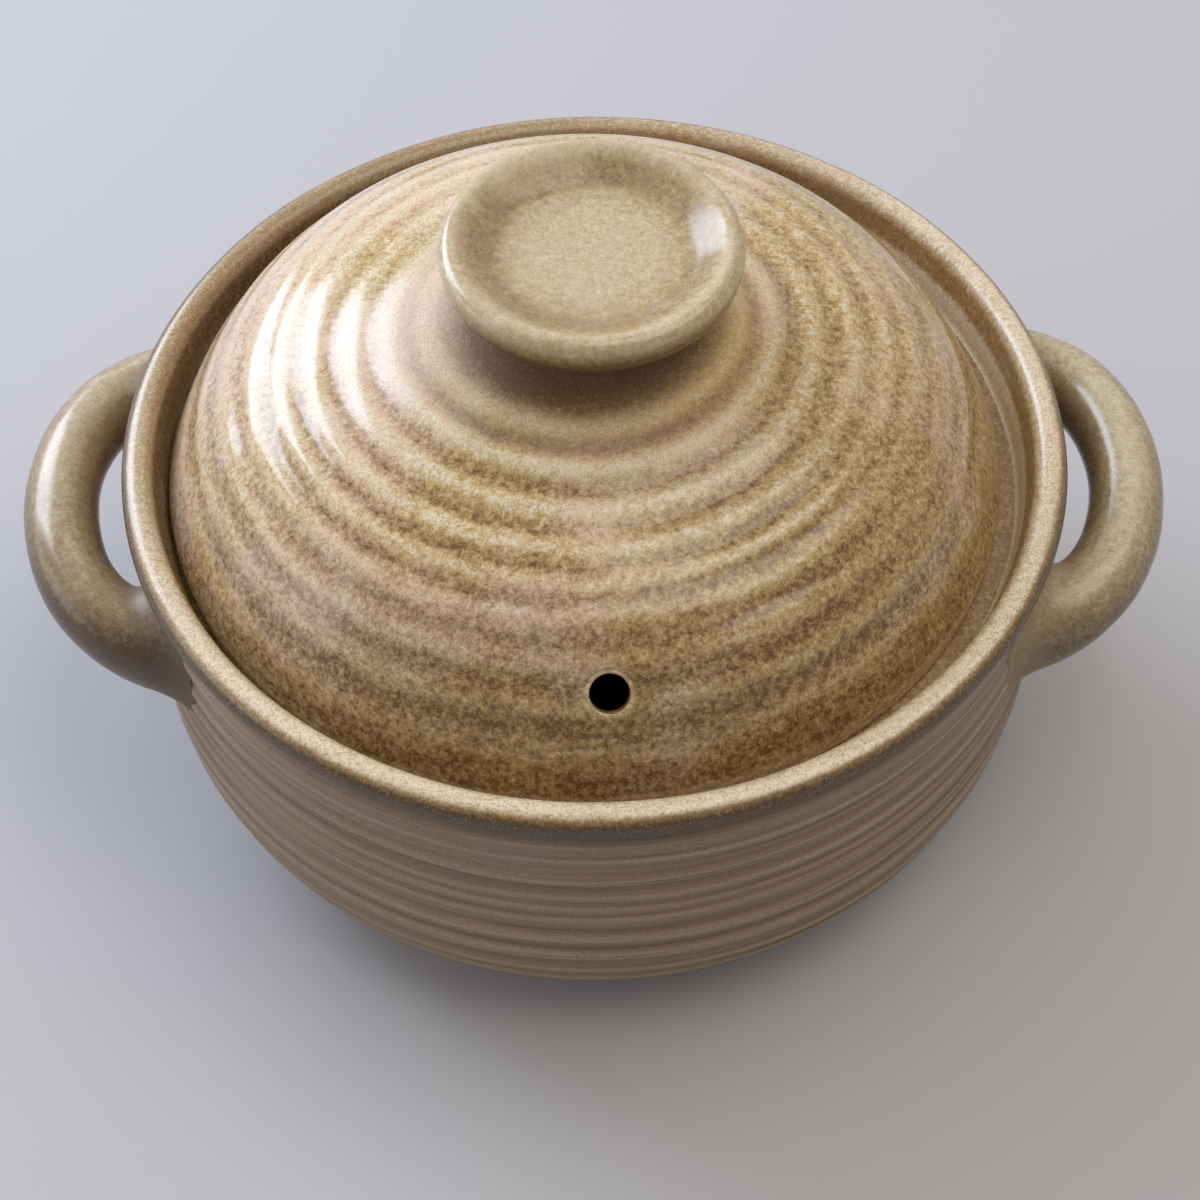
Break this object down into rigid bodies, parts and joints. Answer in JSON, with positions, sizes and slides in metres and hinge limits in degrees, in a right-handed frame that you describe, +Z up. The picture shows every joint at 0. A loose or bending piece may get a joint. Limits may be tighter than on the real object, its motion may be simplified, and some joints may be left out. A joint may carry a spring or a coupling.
{
  "type": "lidded clay casserole",
  "caption": "Round stoneware casserole with a rolled rim, a loop handle on each side, and a ringed domed lid with a dished knob and a steam vent, for cooking and serving.",
  "frame": {"origin": "middle of the foot ring, on the surface that the pot stands on", "axes": "+Z up, +X through the right handle, -Y towards the front, where the lid's vent is"},
  "size_m": [0.3019, 0.2458, 0.174],
  "materials": {
    "wall_glaze": "satin grey-brown glaze with fine speckle",
    "tan_glaze": "satin tan glaze with fine brown speckle"
  },
  "bodies": {
    "pot": {"pot_body": "wall_glaze", "left_handle": "tan_glaze", "right_handle": "tan_glaze"},
    "lid": {"lid_shell": "tan_glaze", "lid_knob": "tan_glaze"}
  },
  "joints": [
    {"name": "lid_lift", "type": "slide", "parent": "pot", "child": "lid", "axis": [0, 0, 1], "range_m": [0, 0.15]}
  ]
}
